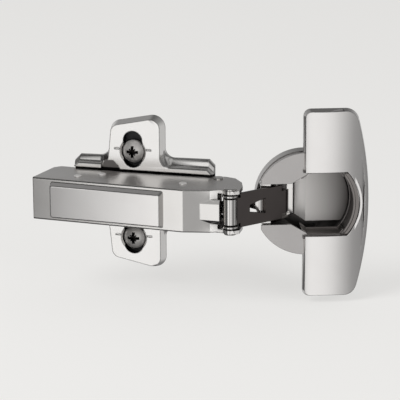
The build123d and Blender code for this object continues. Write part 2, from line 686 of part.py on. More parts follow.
def cup_opening():
    """Plan of the mouth: narrow by the links, wide by the far wall."""
    far = CUP_RADIUS - CUP_WALL - 0.1
    left = [(-20, 7.4), (-5.5, 7.4), (-0.2, 10.5), (0.4, 11.3), (12.0, 11.3)]
    wide = make_face(Polyline(left + [(u, -z) for u, z in reversed(left)], close=True))
    return (wide & Circle(far)) + (Pos(-15, 0) * Rectangle(12, 14.8)) + (Circle(far) & (Pos(12, 0) * Rectangle(12, 22.6)))


def mouth_liner():
    """Stepped dark lining of the mouth, from the cap's cutout down to the insert."""
    def lining(reach, inset):
        """Plan inside the mouth whose far side is an arc and whose near corners are cut."""
        half = [(-1.9, 9.377 - inset), (-0.2, 10.5 - inset), (0.4, 11.3 - inset), (20, 11.3 - inset)]
        return make_face(Polyline(half + [(u, -z) for u, z in reversed(half)], close=True)) & Circle(reach)

    wall = extrude(lining(16.3, 0.0) - lining(15.95, 0.35), amount=LINER_DEPTH + 0.8)
    shelf = extrude(lining(16.3, 0.0) - lining(15.65, 0.95), amount=0.6)
    body = Pos(0, 0, -LINER_DEPTH) * (wall + shelf)
    body -= Pos(16.0, 0, 0) * Box(10.0, 19.0, 20.0)
    arc = (Pos(17.0, 0) * Rectangle(7.4, 22.0)) & (Pos(1.8, 0) * Circle(16.7))
    step = extrude((Circle(17.4) - Circle(16.45)) & arc, amount=0.4)
    land = extrude((Circle(18.4) - Circle(17.2)) & arc, amount=0.9)
    body += Pos(0, 0, FLANGE_THICKNESS) * (step + land)
    return CUP * body


def hinge_cup():
    """Drawn cup with its flange, two screw wings and the cut near wall."""
    shell = Pos(0, 0, -CUP_DEPTH) * Cylinder(CUP_RADIUS, CUP_DEPTH, align=(Align.CENTER,) * 2 + (Align.MIN,))
    shell = fillet(shell.faces().sort_by(Axis.Z)[0].edges(), 1.6)
    neck = Circle(CUP_RADIUS + 1) - Circle(CUP_NECK_RADIUS)
    shell -= Pos(0, 0, -NEAR_WALL_DEPTH - 0.2) * extrude(neck, amount=NEAR_WALL_DEPTH + 0.2)
    shell -= Pos(0, 0, FLOOR) * Cylinder(CUP_RADIUS - CUP_WALL, CUP_DEPTH + 2, align=(Align.CENTER,) * 2 + (Align.MIN,))
    flange = Circle(FLANGE_RADIUS)
    wings = Pos(CUP_SCREW_OFFSET + 1.2, 0) * RectangleRounded(11.4, 64.0, 4.0)
    sheet = extrude(flange + wings, amount=FLANGE_THICKNESS)
    sheet -= extrude(cup_opening(), amount=3, both=True)
    sheet -= Pos(FLANGE_CHORD - 5, 0, 0) * Box(10, 60, 4)
    body = shell + sheet
    body -= Pos(-17.0, 0, -NEAR_WALL_DEPTH) * Box(6.0, 14.8, NEAR_WALL_DEPTH, align=(Align.CENTER, Align.CENTER, Align.MIN))
    ledge_plan = Circle(CUP_RADIUS - CUP_WALL + 0.1) & (Pos(9.5, 0) * Rectangle(15, 40))
    body += Pos(0, 0, FLOOR - 0.1) * extrude(ledge_plan - Circle(INSERT_REACH + 0.3), amount=5.6)
    for side in (1, -1):
        body -= Pos(CUP_SCREW_OFFSET, side * CUP_SCREW_SPACING / 2, 0) * Cylinder(2.0, 6)
    return CUP * body


def pin_bracket():
    """Bent bracket on the cup floor that holds both cup pins at each side of the links."""
    outline = [
        (-13.2, FLOOR),
        (-4.6, FLOOR),
        (-4.6, -9.6),
        (-8.2, -5.2),
        (-12.6, -0.4),
        (-16.4, -0.4),
        (-16.4, -5.6),
        (-13.9, -6.2),
        (-13.2, -8.0),
    ]
    base = [(-5.8, FLOOR), (-3.4, FLOOR), (-3.4, FLOOR + 0.8), (-5.8, FLOOR + 0.8)]
    body = side_band([cup_point(u, w) for u, w in outline], 6.35, 7.3)
    body += side_plate([cup_point(u, w) for u, w in base], -7.0, 7.0)
    body &= CUP * Pos(0, 0, -CUP_DEPTH / 2) * Cylinder(CUP_RADIUS - 0.1, CUP_DEPTH)
    body -= z_rod(OUTER_CUP_PIVOT_OPEN, CUP_PIN_RADIUS, -9, 9)
    body -= z_rod(INNER_CUP_PIVOT_OPEN, CUP_PIN_RADIUS, -9, 9)
    return body


def cup_insert():
    """Insert in the mouth of the cup: a flat plate with one sloping end on a smaller block."""
    low = INSERT_TOP - INSERT_SHEET
    plate = (Pos(10.6, 0) * Rectangle(20, 17.4)) & Circle(INSERT_REACH)
    top = Pos(0, 0, low) * extrude(plate, amount=INSERT_SHEET)
    slope = [(0.6, INSERT_TOP), (-3.2, INSERT_TOP - 1.5), (-3.2, low - 1.5), (0.6, low)]
    ramp = side_plate([cup_point(u, w) for u, w in slope], -8.7, 8.7)
    wedge = Polyline([(0.7, 9), (0.7, 8.7), (-3.3, 6.3), (-3.3, 9)], close=True)
    ramp -= both_sides(CUP * Pos(0, 0, -12) * extrude(make_face(wedge), amount=8))
    plan = Pos(6.5, 0) * RectangleRounded(15.0, 15.0, 2.0) & Circle(14.6)
    pedestal = Pos(0, 0, FLOOR) * extrude(plan, amount=low - FLOOR)
    return CUP * (top + pedestal) + ramp


def cup_cover_cap():
    """D-shaped cover over the flange wings, crowned along its length, cut out round the mouth."""
    bulge_radius = 122.0
    right = 22.0
    half_height = 34.1
    outline = make_face(Polyline([(-1.4, -half_height), (-1.4, half_height), (30, half_height), (30, -half_height)], close=True))
    outline &= Pos(right - bulge_radius, 0) * Circle(bulge_radius)
    corners = outline.vertices().sort_by(Axis.X)
    outline = fillet(corners[-2:], 5.0)
    outline = fillet(outline.vertices().sort_by(Axis.X)[:2], 2.6)
    crown_radius = 67.0
    crown = Pos(6.0, 0, 2.9 - crown_radius) * Rot(90, 0, 0) * Cylinder(crown_radius, 90)
    body = loft([outline, Pos(0, 0, 3.2) * offset(outline, -0.9)]) & crown
    inner = offset(outline, -1.5)
    body -= Pos(0, 0, -0.1) * extrude(inner, amount=1.45)
    cut = make_face(Polyline([(-3, -11.5), (-3, 11.5), (14.2, 11.5), (14.2, -11.5)], close=True))
    cut += (Pos(1.8, 0) * Circle(16.9)) & (Pos(17.2, 0) * Rectangle(6.2, 23.0))
    body -= extrude(cut, amount=5, both=True)
    ring = extrude((offset(cut, 1.0) - cut) & outline, amount=2.0)
    body += ring
    sheet = Circle(FLANGE_RADIUS + 0.1) - Pos(FLANGE_CHORD - 5.1, 0) * Rectangle(10, 60)
    body -= extrude(sheet, amount=FLANGE_THICKNESS + 0.02)
    body -= Pos(11.6, half_height, 1.55) * Box(2.5, 1.3, 0.7)
    return CUP * body


def cup_screw(side):
    """Wood screw through the flange wing, under the cover cap."""
    head = Pos(0, 0, FLANGE_THICKNESS) * Cylinder(3.4, 0.32, align=(Align.CENTER,) * 2 + (Align.MIN,))
    shank = Pos(0, 0, -11) * Cylinder(1.75, 11, align=(Align.CENTER,) * 2 + (Align.MIN,))
    shank += Cylinder(1.5, FLANGE_THICKNESS + 0.1, align=(Align.CENTER,) * 2 + (Align.MIN,))
    tip = Pos(0, 0, -13.5) * Cone(0.2, 1.75, 2.5, align=(Align.CENTER,) * 2 + (Align.MIN,))
    screw = head + shank + tip - Pos(0, 0, FLANGE_THICKNESS + 0.32) * cross_recess(3.0, 1.2)
    return CUP * Pos(CUP_SCREW_OFFSET, side * CUP_SCREW_SPACING / 2, 0) * screw


# ---------------------------------------------------------------- build and write
os.makedirs("parts", exist_ok=True)

write(mounting_plate(), "mounting_plate")
write(plate_screw(1), "plate_screw_upper")
write(plate_screw(-1), "plate_screw_lower")
write(arm_carrier(), "arm_carrier")
write(hinge_arm(), "hinge_arm")
write(arm_cover_cap(), "arm_cover_cap")
write(arm_rivets(), "arm_rivets")
write(headed_pin(OUTER_ARM_PIVOT, ARM_PIN_RADIUS, 2.3, 0.6), "outer_arm_pin")
write(headed_pin(INNER_ARM_PIVOT, LINK_PIN_RADIUS, 1.9, 0.5), "inner_arm_pin")
write(collar(1), "upper_collar")
write(collar(-1), "lower_collar")
write(adjuster_block(), "adjuster_block")
write(cross_pin(TILT_PIVOT, SMALL_PIN_RADIUS, 5.9), "tilt_pin")
write(cross_pin(LEVER_PIVOT, SMALL_PIN_RADIUS, 5.9), "lever_pin")
write(release_lever(), "release_lever")
write(lever_spring(), "lever_spring")
write(damper_housing(), "damper_housing")
write(damper_cylinder(), "damper_cylinder")
write(damper_rod(), "damper_rod")
write(cross_pin(SPRING_PIVOT, SPRING_PIN_RADIUS, ARM_INNER), "spring_pin")
write(closing_spring(), "closing_spring")
write(depth_screw(), "depth_screw")
write(side_screw(), "side_screw")
write(outer_link(), "outer_link")
write(inner_link(), "inner_link")
write(hinge_cup(), "hinge_cup")
write(pin_bracket(), "pin_bracket")
write(cross_pin(OUTER_CUP_PIVOT_OPEN, CUP_PIN_RADIUS, PIN_HALF_LENGTH), "outer_cup_pin")
write(cross_pin(INNER_CUP_PIVOT_OPEN, CUP_PIN_RADIUS, PIN_HALF_LENGTH), "inner_cup_pin")
write(cup_insert(), "cup_insert")
write(mouth_liner(), "mouth_liner")
write(cup_cover_cap(), "cup_cover_cap")
write(cup_screw(1), "cup_screw_upper")
write(cup_screw(-1), "cup_screw_lower")
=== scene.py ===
"""Dresses the concealed cup hinge: threads, collars, black washers as painted shade behind the slots,
finishes with painted shade and a painted highlight, stage, light and camera.

Laid out as an add-on and run as a script.  Lengths in the code are metres unless a name says mm.
"""
import json
from math import cos, hypot, pi, radians, sin

import bmesh
import bpy
from bpy.props import FloatProperty, FloatVectorProperty, IntProperty, PointerProperty
from mathutils import Matrix, Vector

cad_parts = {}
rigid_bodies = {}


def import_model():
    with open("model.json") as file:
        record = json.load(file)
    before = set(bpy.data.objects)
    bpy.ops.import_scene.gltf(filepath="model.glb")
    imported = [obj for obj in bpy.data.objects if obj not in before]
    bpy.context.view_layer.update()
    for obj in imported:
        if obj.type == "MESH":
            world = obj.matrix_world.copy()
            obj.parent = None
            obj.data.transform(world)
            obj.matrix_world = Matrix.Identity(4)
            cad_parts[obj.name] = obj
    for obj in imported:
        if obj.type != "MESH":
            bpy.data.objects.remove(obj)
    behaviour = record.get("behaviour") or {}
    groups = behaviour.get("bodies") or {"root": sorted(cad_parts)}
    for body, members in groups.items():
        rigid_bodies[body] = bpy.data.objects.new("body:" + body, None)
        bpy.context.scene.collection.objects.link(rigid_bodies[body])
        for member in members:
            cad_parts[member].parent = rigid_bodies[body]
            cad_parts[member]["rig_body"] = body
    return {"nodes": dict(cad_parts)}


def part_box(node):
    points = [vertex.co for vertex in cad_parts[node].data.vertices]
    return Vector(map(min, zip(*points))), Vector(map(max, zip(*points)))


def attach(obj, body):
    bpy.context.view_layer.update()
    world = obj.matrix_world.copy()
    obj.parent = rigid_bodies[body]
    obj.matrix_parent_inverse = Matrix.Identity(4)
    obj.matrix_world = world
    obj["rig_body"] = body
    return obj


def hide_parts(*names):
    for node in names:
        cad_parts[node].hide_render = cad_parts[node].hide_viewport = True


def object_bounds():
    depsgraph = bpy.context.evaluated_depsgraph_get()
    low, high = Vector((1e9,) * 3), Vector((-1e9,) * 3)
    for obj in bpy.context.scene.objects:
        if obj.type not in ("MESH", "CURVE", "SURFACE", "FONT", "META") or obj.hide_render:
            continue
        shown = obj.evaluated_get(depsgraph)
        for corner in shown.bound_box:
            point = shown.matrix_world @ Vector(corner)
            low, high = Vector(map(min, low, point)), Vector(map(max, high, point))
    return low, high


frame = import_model()
CAD_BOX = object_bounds()

bl_info = {
    "name": "Cup hinge dresser",
    "version": (1, 0, 0),
    "blender": (4, 5, 0),
    "location": "View3D > Sidebar > Cup hinge",
    "description": "Threads, collars, finishes, light and camera for a concealed cup hinge",
    "category": "Object",
}

MM = 0.001
DOOR_TILT = radians(20)
CUP_CENTRE = Vector((63.5, -2.2, 0)) * MM
CUP_AXIS = Vector((sin(DOOR_TILT), -cos(DOOR_TILT), 0))
CUP_ALONG = Vector((cos(DOOR_TILT), sin(DOOR_TILT), 0))
KNUCKLE = Vector((40.3, -19.4, 0)) * MM
SIDES = ("upper", "lower")

# All sizes below are in mm.  Places in the plate: heights along Z, and depths as distance from its back.
SLOT_HEIGHTS = (16.0, -16.0)
SCREW_HEIGHTS = (15.1, -16.9)
SLOT_HALF_TRAVEL = 3.2
SLOT_REACH = 3.62
SLOT_RIM = 3.98
SEAT_REACH = 4.6
SEAT_RIM = 3.6
CHANNEL_REACH = 8.34
CHANNEL_RIM = 3.9
# limits of a sloped patch by the plate's bar that gets painted shade
SHADED_SLOPE_ALONG = (-11.6, -4.8)
SHADED_SLOPE_UP = (8.3, 12.6)

# Thread of a screw: whether each corner of one turn is on the crest, and its share of the pitch.
THREAD_PROFILE = ((False, 0.0), (False, 0.42), (True, 0.68), (True, 0.74), (False, 1.0))
LEAD_IN = 1.3
POINT_TAPER = 0.6
PLATE_SHANK_RADIUS = 3.15
PLATE_SHANK = (-11.1, -0.02)
PLATE_POINT = 1.2
RECESS_RADIUS = 2.35
RECESS_FLOOR = 0.5
RECESS_TOP = 4.3
CUP_SHANK_RADIUS = 1.75
CUP_SHANK = (-11.4, -0.3)
# how far the cup screws stand from the cup's centre, along the cup and up or down
CUP_SCREW_PLACE = (5.5, 26.0)

# Black washer behind a slot of the plate, put there as painted shade for the shadow behind the plate.
WASHER_RADIUS = 3.45
WASHER_HALF_TRAVEL = 3.15
WASHER_BORE = 2.95
WASHER_DEPTH = 0.1

# Folded arm: its inside, its sides and the bend at its front.
ARM_INSIDE_REACH = 6.45
ARM_INSIDE_HEIGHT = 19.0
ARM_SIDE = 6.5
ARM_FRONT_BEND = 33.6

# Turned collar and rolled knuckle, as radii about the arm's pin, and heights from the collar's ends.
COLLAR_BORE = 1.55
COLLAR_SHOULDER = 2.66
GROOVE_REACH = 2.5
KNUCKLE_REACH = 2.56
GROOVE_WIDTH = 0.36
SHOULDER_HEIGHT = 0.44
RING_HEIGHT = 0.60

# Cup and its cap: distances from the cup's centre and heights above its flange.
CUP_INSIDE_REACH = 17.0
CUP_INSIDE_HEIGHTS = (-12.4, 0.95)
# how far along the flange's lip starts, how far it reaches, and its height
FLANGE_LIP = (12, 18.2, 0.9)
# limits along, and up or down, of the cap's cutout by the links and of the cutout's sides
CAP_MOUTH = (0.6, 12.4)
CAP_SIDE = (18.8, 11.56)
# the axis of the cap's crown, along the cup and below its face
CROWN_MIDDLE = 6.0
CROWN_DEPTH = 64.1

# the point that the camera looks at
CAMERA_AIM = (23.516, 1.170, -2.460)


# ------------------------------------------------------------------ nodes and colours
def linear(hex_colour):
    """sRGB hex string to linear RGBA."""
    channels = [int(hex_colour[i:i + 2], 16) / 255 for i in (0, 2, 4)]
    curve = [c / 12.92 if c <= 0.04045 else ((c + 0.055) / 1.055) ** 2.4 for c in channels]
    return (*curve, 1.0)


def add(tree, kind, links=None, **settings):
    """Adds a node; settings are properties or input values, links are input name to output socket."""
    node = tree.nodes.new(kind)
    for name, value in settings.items():
        if hasattr(node, name):
            setattr(node, name, value)
        else:
            node.inputs[name.replace("_", " ")].default_value = value
    for name, socket in (links or {}).items():
        tree.links.new(socket, node.inputs[name])
    return node


def new_material(name):
    """Empty node material and its tree."""
    material = bpy.data.materials.new(name)
    material.use_nodes = True
    material.node_tree.nodes.clear()
    return material, material.node_tree


def edge_share(tree, rounded):
    """1 where the rounded normal leaves the true one, so along edges, and 0 on open faces."""
    true = add(tree, "ShaderNodeNewGeometry").outputs["Normal"]
    match = add(tree, "ShaderNodeVectorMath", {0: rounded, 1: true}, operation="DOT_PRODUCT")
    share = add(tree, "ShaderNodeMapRange", {"Value": match.outputs["Value"]})
    share.inputs["From Min"].default_value = 0.995
    share.inputs["From Max"].default_value = 0.80
    return share.outputs["Result"]


def plated_metal(
    name, colour, shade, edge, roughness, spread, grain_mm, depth_mm, edge_mm=0.18, metallic=1.0
):
    """Plated metal: two close tones in clouds, a satin grain, and a darker tone along rounded edges that is
    painted shade.
    """
    material, tree = new_material(name)
    place = add(tree, "ShaderNodeTexCoord").outputs["Object"]
    clouds = add(tree, "ShaderNodeTexNoise", {"Vector": place}, Scale=1 / (9 * MM), Detail=3.0)
    body = add(tree, "ShaderNodeMix", {"Factor": clouds.outputs["Fac"]}, data_type="RGBA")
    body.inputs["A"].default_value = linear(colour)
    body.inputs["B"].default_value = linear(shade)
    rounded = add(tree, "ShaderNodeBevel", samples=6)
    rounded.inputs["Radius"].default_value = edge_mm * MM
    # painted shade: along rounded edges the body colour turns to the darker edge tone, standing in for the
    # dark rims that reflections give real edges
    at_edge = edge_share(tree, rounded.outputs["Normal"])
    tone = add(tree, "ShaderNodeMix", {"Factor": at_edge, "A": body.outputs["Result"]}, data_type="RGBA")
    tone.inputs["B"].default_value = linear(edge)
    grain = add(tree, "ShaderNodeTexNoise", {"Vector": place}, Scale=1 / (grain_mm * MM), Detail=2.0)
    rough = add(tree, "ShaderNodeMapRange", {"Value": grain.outputs["Fac"]})
    rough.inputs["To Min"].default_value = roughness - spread
    rough.inputs["To Max"].default_value = roughness + spread
    bump = add(
        tree,
        "ShaderNodeBump",
        {"Height": grain.outputs["Fac"], "Normal": rounded.outputs["Normal"]},
        Distance=depth_mm * MM,
        Strength=0.5,
    )
    shader = add(
        tree,
        "ShaderNodeBsdfPrincipled",
        {
            "Base Color": tone.outputs["Result"],
            "Roughness": rough.outputs["Result"],
            "Normal": bump.outputs["Normal"],
        },
        Metallic=metallic,
    )
    add(tree, "ShaderNodeOutputMaterial", {"Surface": shader.outputs["BSDF"]})
    return material


def painted_shade_along_x(material, lit_colour, dull, reach):
    """Painted shade: turns a metal's body colour from a lit tone to a darker one between two places along X,
    in metres.
    """
    tree = material.node_tree
    place = add(tree, "ShaderNodeTexCoord").outputs["Object"]
    along = add(tree, "ShaderNodeSeparateXYZ", {"Vector": place}).outputs["X"]
    share = add(tree, "ShaderNodeMapRange", {"Value": along})
    share.inputs["From Min"].default_value = reach[0]
    share.inputs["From Max"].default_value = reach[1]
    body = next(node for node in tree.nodes if node.type == "MIX" and not node.inputs["A"].is_linked)
    for socket, colour in (("A", lit_colour), ("B", dull)):
        body.inputs[socket].default_value = linear(colour)
    for link in list(tree.links):
        if link.to_node == body:
            tree.links.remove(link)
    tree.links.new(share.outputs["Result"], body.inputs["Factor"])


def moulded_plastic(name, colour, roughness, grain_mm):
    """Moulded plastic: one colour with a fine spark-eroded texture from its mould."""
    material, tree = new_material(name)
    place = add(tree, "ShaderNodeTexCoord").outputs["Object"]
    speck = add(tree, "ShaderNodeTexNoise", {"Vector": place}, Scale=1 / (grain_mm * MM), Detail=2.0)
    bump = add(tree, "ShaderNodeBump", {"Height": speck.outputs["Fac"]}, Distance=0.01 * MM, Strength=0.4)
    shader = add(tree, "ShaderNodeBsdfPrincipled", {"Normal": bump.outputs["Normal"]}, Roughness=roughness)
    shader.inputs["Base Color"].default_value = linear(colour)
    add(tree, "ShaderNodeOutputMaterial", {"Surface": shader.outputs["BSDF"]})
    return material


def make_materials():
    """Every finish of the hinge, by name."""
    made = {}
    # zinc die casting, tumbled and nickel plated: bright, with soft cloudy reflections
    made["cast"] = plated_metal(
        "nickel_plated_die_cast", "F0EEEC", "E8E6E3", "3A3735", 0.20, 0.02, 0.25, 0.003, edge_mm=0.5
    )
    # the same casting on a sloped patch by the bar: rougher, and darker by painted shade
    made["shaded_slope"] = plated_metal(
        "painted_shade_on_slope", "8A8684", "7A7674", "3A3735", 0.40, 0.05, 0.35, 0.008
    )
    # cold rolled steel, stamped and nickel plated: clear reflections with a faint satin
    made["sheet"] = plated_metal(
        "nickel_plated_steel_sheet", "E8E6E3", "DDDAD7", "4C4846", 0.13, 0.02, 0.12, 0.002, edge_mm=0.35
    )
    # its sides, duller where the press rubbed them
    made["flank"] = plated_metal(
        "drawn_side_of_steel_sheet", "ECEAE8", "E0DDDA", "4C4846", 0.30, 0.03, 0.12, 0.003, edge_mm=0.3
    )
    # the sharp bend at the arm's front, with a painted highlight: a brighter, partly diffuse tone
    made["bent"] = plated_metal(
        "painted_highlight_on_bend", "FAF8F6", "F2F0EE", "4C4846", 0.40, 0.03, 0.12, 0.002,
        metallic=0.5, edge_mm=0.3,
    )
    # the same steel on the smooth caps, a shade lighter
    made["cover"] = plated_metal(
        "nickel_plated_steel_cover", "ECEAE8", "E5E2E0", "4C4846", 0.12, 0.02, 0.12, 0.001, edge_mm=0.35
    )
    # deep drawn steel, duller where the sheet was stretched
    made["cup"] = plated_metal(
        "nickel_plated_drawn_steel", "BFBCBA", "B4B1AF", "5A5654", 0.26, 0.03, 0.12, 0.003
    )
    # heat treated steel with black nickel: nearly black, silky
    made["dark"] = plated_metal(
        "black_nickel_on_hardened_steel", "6A6462", "5F5957", "35312F", 0.32, 0.04, 0.10, 0.003
    )
    # turned and burnished steel: mirror bright
    made["pin"] = plated_metal(
        "burnished_steel_pin", "E6E4E1", "D6D3D0", "6A6664", 0.12, 0.02, 0.10, 0.001
    )
    # rivets closed by a spinning die: a matt crown that catches the light
    made["rivet"] = plated_metal(
        "spun_steel_rivet", "F0EEEC", "E2E0DD", "2E2B2A", 0.36, 0.03, 0.10, 0.002, metallic=0.6
    )
    # cold headed screw steel under nickel
    made["screw"] = plated_metal(
        "nickel_plated_screw_steel", "DAD7D4", "CAC7C4", "4C4846", 0.34, 0.03, 0.10, 0.002, metallic=0.7
    )
    made["spring"] = plated_metal(
        "oiled_spring_wire", "A8A4A2", "8E8A88", "6A6664", 0.20, 0.03, 0.10, 0.001, edge_mm=0.05
    )
    made["zinc"] = plated_metal(
        "bare_die_cast_zinc", "8F8C8A", "7D7A78", "5A5856", 0.45, 0.06, 0.40, 0.010
    )
    made["turned"] = plated_metal(
        "turned_aluminium", "C9C9CB", "B8B8BA", "9A9A9C", 0.28, 0.05, 0.08, 0.002
    )
    # painted shade in slots, grooves and recesses: a near-black dull tone stands in for the shade in them
    made["hollow"] = plated_metal(
        "painted_shade_in_hollows", "2E2B2A", "221F1E", "151413", 0.50, 0.05, 0.20, 0.004
    )
    # painted shade inside the cup and in the cap's cutout: a darker grey stands in for the shade there
    made["inner"] = plated_metal(
        "painted_shade_inside_cup", "7E7A78", "706C6A", "2E2B2A", 0.36, 0.04, 0.20, 0.004
    )
    # painted shade in the cup's mouth: a darker grey lining with near-black edges stands in for the shade
    # there
    made["lining"] = plated_metal(
        "painted_shade_mouth_lining", "8E8986", "827D7A", "1E1C1B", 0.30, 0.04, 0.10, 0.002
    )
    # painted shade inside the arm's fold: a darker grey stands in for the shade there
    made["inside"] = plated_metal(
        "painted_shade_inside_fold", "8A8684", "7C7876", "2E2B2A", 0.30, 0.04, 0.12, 0.002
    )
    # stamped insert, with painted shade that darkens it from its low X end to its high X end
    made["insert"] = plated_metal(
        "nickel_plated_insert", "C4C1BE", "BAB7B4", "4C4846", 0.36, 0.03, 0.12, 0.002, metallic=0.6
    )
    low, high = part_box("cup_insert")
    painted_shade_along_x(made["insert"], "EAE7E4", "565250", (low.x, high.x))
    made["acetal"] = moulded_plastic("black_moulded_acetal", "242324", 0.5, 0.3)
    return made


MATERIALS = make_materials()


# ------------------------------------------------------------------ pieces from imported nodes
def paint(node, finish):
    """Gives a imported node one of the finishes."""
    mesh = frame["nodes"][node].data
    mesh.materials.clear()
    mesh.materials.append(MATERIALS[finish])


def merged_copy(node):
    """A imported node's shape as a bmesh with its loose triangles joined."""
    bm = bmesh.new()
    bm.from_mesh(frame["nodes"][node].data)
    bmesh.ops.remove_doubles(bm, verts=bm.verts, dist=0.0005 * MM)
    return bm


def cup_place(point):
    """(along, out, z) of a point in the cup's own frame, in millimetres."""
    offset = point - CUP_CENTRE
    return offset.dot(CUP_ALONG) / MM, offset.dot(CUP_AXIS) / MM, offset.z / MM


def new_piece(name, bm, finishes, body, nodes=(), crease=13, flat=True):
    """Links a bmesh as a piece that rides on a body; edges sharper than the crease angle stay crisp."""
    mesh = bpy.data.meshes.new(name)
    bm.to_mesh(mesh)
    bm.free()
    for finish in finishes:
        mesh.materials.append(MATERIALS[finish])
    piece = bpy.data.objects.new(name, mesh)
    bpy.context.scene.collection.objects.link(piece)
    mesh.shade_smooth()
    mesh.set_sharp_from_angle(angle=radians(crease))
    if flat:
        normals = piece.modifiers.new("flat_faces", "WEIGHTED_NORMAL")
        normals.weight = 95
        normals.keep_sharp = True
    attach(piece, body)
    if nodes:
        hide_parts(*nodes)
    return piece


def recoloured(bm, test, index):
    """Gives the faces that pass a test another of the piece's finishes."""
    for face in bm.faces:
        if test(face.calc_center_median(), face.normal):
            face.material_index = index


# ------------------------------------------------------------------ what a user may change
class HingeFittingSettings(bpy.types.PropertyGroup):
    """Collars on the arm's pin and the black washers behind the plate's slots, which are painted shade."""

    collar_ring_mm: FloatProperty(
        name="Collar ring", description="Radius of a collar's raised ring in mm", default=2.80, min=2.0
    )
    collar_groove_mm: FloatProperty(
        name="Collar groove", description="Radius of a collar's grooves in mm", default=2.15, min=1.7
    )
    washer_mm: FloatProperty(
        name="Washer", description="Thickness of the washers behind the slots in mm", default=0.6, min=0.1
    )


class HingeThreadSettings(bpy.types.PropertyGroup):
    """Threads of the plate and cup screws."""

    plate_pitch_mm: FloatProperty(
        name="Plate screw pitch", description="Thread pitch in mm", default=2.2, min=0.5
    )
    plate_root_mm: FloatProperty(
        name="Plate screw root", description="Root radius in mm", default=2.25, min=0.5
    )
    cup_pitch_mm: FloatProperty(
        name="Cup screw pitch", description="Thread pitch in mm", default=1.6, min=0.5
    )
    cup_root_mm: FloatProperty(name="Cup screw root", description="Root radius in mm", default=1.1, min=0.3)
    steps: IntProperty(name="Steps", description="Facets in one turn of a thread", default=40, min=12)


# ------------------------------------------------------------------ plate
def in_screw_slot(centre):
    """Whether a point of the plate is inside a screw slot, and not on the open face."""
    x, z, out = centre.x / MM, centre.z / MM, -centre.y / MM
    for middle, screw in zip(SLOT_HEIGHTS, SCREW_HEIGHTS):
        past = max(0.0, abs(z - middle) - SLOT_HALF_TRAVEL)
        in_slot = hypot(x, past) < SLOT_REACH and out < SLOT_RIM
        in_seat = hypot(x, z - screw) < SEAT_REACH and out < SEAT_RIM
        if in_slot or in_seat:
            return True
    return False


def in_shade(centre, normal):
    """Whether a face of the plate is in a slot or in the channel under the arm."""
    in_channel = abs(centre.z) < CHANNEL_REACH * MM and -centre.y < CHANNEL_RIM * MM
    return in_screw_slot(centre) or (in_channel and normal.y < 0.5)


def on_shaded_slope(centre, normal):
    """Whether a face of the plate is on a sloped patch by its bar, which gets painted shade."""
    x, z, out = centre.x / MM, abs(centre.z) / MM, -centre.y / MM
    return SHADED_SLOPE_ALONG[0] < x < SHADED_SLOPE_ALONG[1] and SHADED_SLOPE_UP[0] < z < SHADED_SLOPE_UP[1] and out < CHANNEL_RIM


class HINGE_OT_plate(bpy.types.Operator):
    """Finish the die-cast plate, with painted shade in its screw slots, in the channel under the arm and on a
    sloped patch by its bar
    """

    bl_idname = "hinge.plate"
    bl_label = "Mounting plate"

    def execute(self, context):
        bm = merged_copy("mounting_plate")
        # painted shade: the slots and the channel under the arm get the near-black finish
        recoloured(bm, in_shade, 1)
        # painted shade: the sloped patch by the bar gets a darker finish
        recoloured(bm, on_shaded_slope, 2)
        new_piece("cast_plate", bm, ("cast", "hollow", "shaded_slope"), "base", ("mounting_plate",))
        return {"FINISHED"}


# ------------------------------------------------------------------ screws
def verts_of(geom):
    """The vertices among the results of a bmesh operation."""
    return [part for part in geom if isinstance(part, bmesh.types.BMVert)]


def cut_off(bm, place, side):
    """Cuts off what lies beyond a plane, closes the cut and gives the faces that close it."""
    geom = [*bm.verts, *bm.edges, *bm.faces]
    cut = bmesh.ops.bisect_plane(bm, geom=geom, plane_co=place, plane_no=side, clear_outer=True)
    rim = [part for part in cut["geom_cut"] if isinstance(part, bmesh.types.BMEdge)]
    return bmesh.ops.holes_fill(bm, edges=rim, sides=0)["faces"]


def threaded_shank(radius, root, pitch, shank, steps, point=0.0):
    """Coarse thread about +Z along a (start, end) shank, in mm, with closed ends and a blunt point."""
    start, end = shank
    bm = bmesh.new()
    turns = round((end - start) / pitch) + 3
    low = start - LEAD_IN * pitch
    profile = [
        bm.verts.new(((radius if crest else root) * MM, 0, (low + pitch * share) * MM))
        for crest, share in THREAD_PROFILE
    ]
    lines = [bm.edges.new(pair) for pair in zip(profile, profile[1:])]
    bmesh.ops.spin(
        bm,
        geom=[*profile, *lines],
        cent=(0, 0, 0),
        axis=(0, 0, 1),
        dvec=(0, 0, pitch * MM / steps),
        angle=2 * pi * turns,
        steps=steps * turns,
        use_merge=False,
        use_duplicate=False,
    )
    bmesh.ops.remove_doubles(bm, verts=bm.verts, dist=0.005 * MM)
    foot = cut_off(bm, (0, 0, start * MM), (0, 0, -1))
    if point > 0:
        ends = bmesh.ops.extrude_discrete_faces(bm, faces=foot)["faces"]
        tip = [vert for face in ends for vert in face.verts]
        bmesh.ops.scale(bm, verts=tip, vec=(POINT_TAPER, POINT_TAPER, 1))
        bmesh.ops.translate(bm, verts=tip, vec=(0, 0, -point * MM))
    cut_off(bm, (0, 0, end * MM), (0, 0, 1))
    bmesh.ops.recalc_face_normals(bm, faces=bm.faces)
    return bm


def cut_away(bm, start, along, end):
    """Takes out what lies between two places along a line and closes both cuts."""
    ends = []
    for place, side in ((start, along), (end, -along)):
        part = bm.copy()
        cut_off(part, place, side)
        ends.append(part)
    bm.clear()
    for part in ends:
        join(bm, part)


def join(bm, other):
    """Adds another bmesh to this one and frees it."""
    extra = bpy.data.meshes.new("joined")
    other.to_mesh(extra)
    other.free()
    bm.from_mesh(extra)
    bpy.data.meshes.remove(extra)


def upright(direction):
    """Turn that stands the Z axis along a direction."""
    return direction.to_track_quat("Z", "Y").to_matrix().to_4x4()


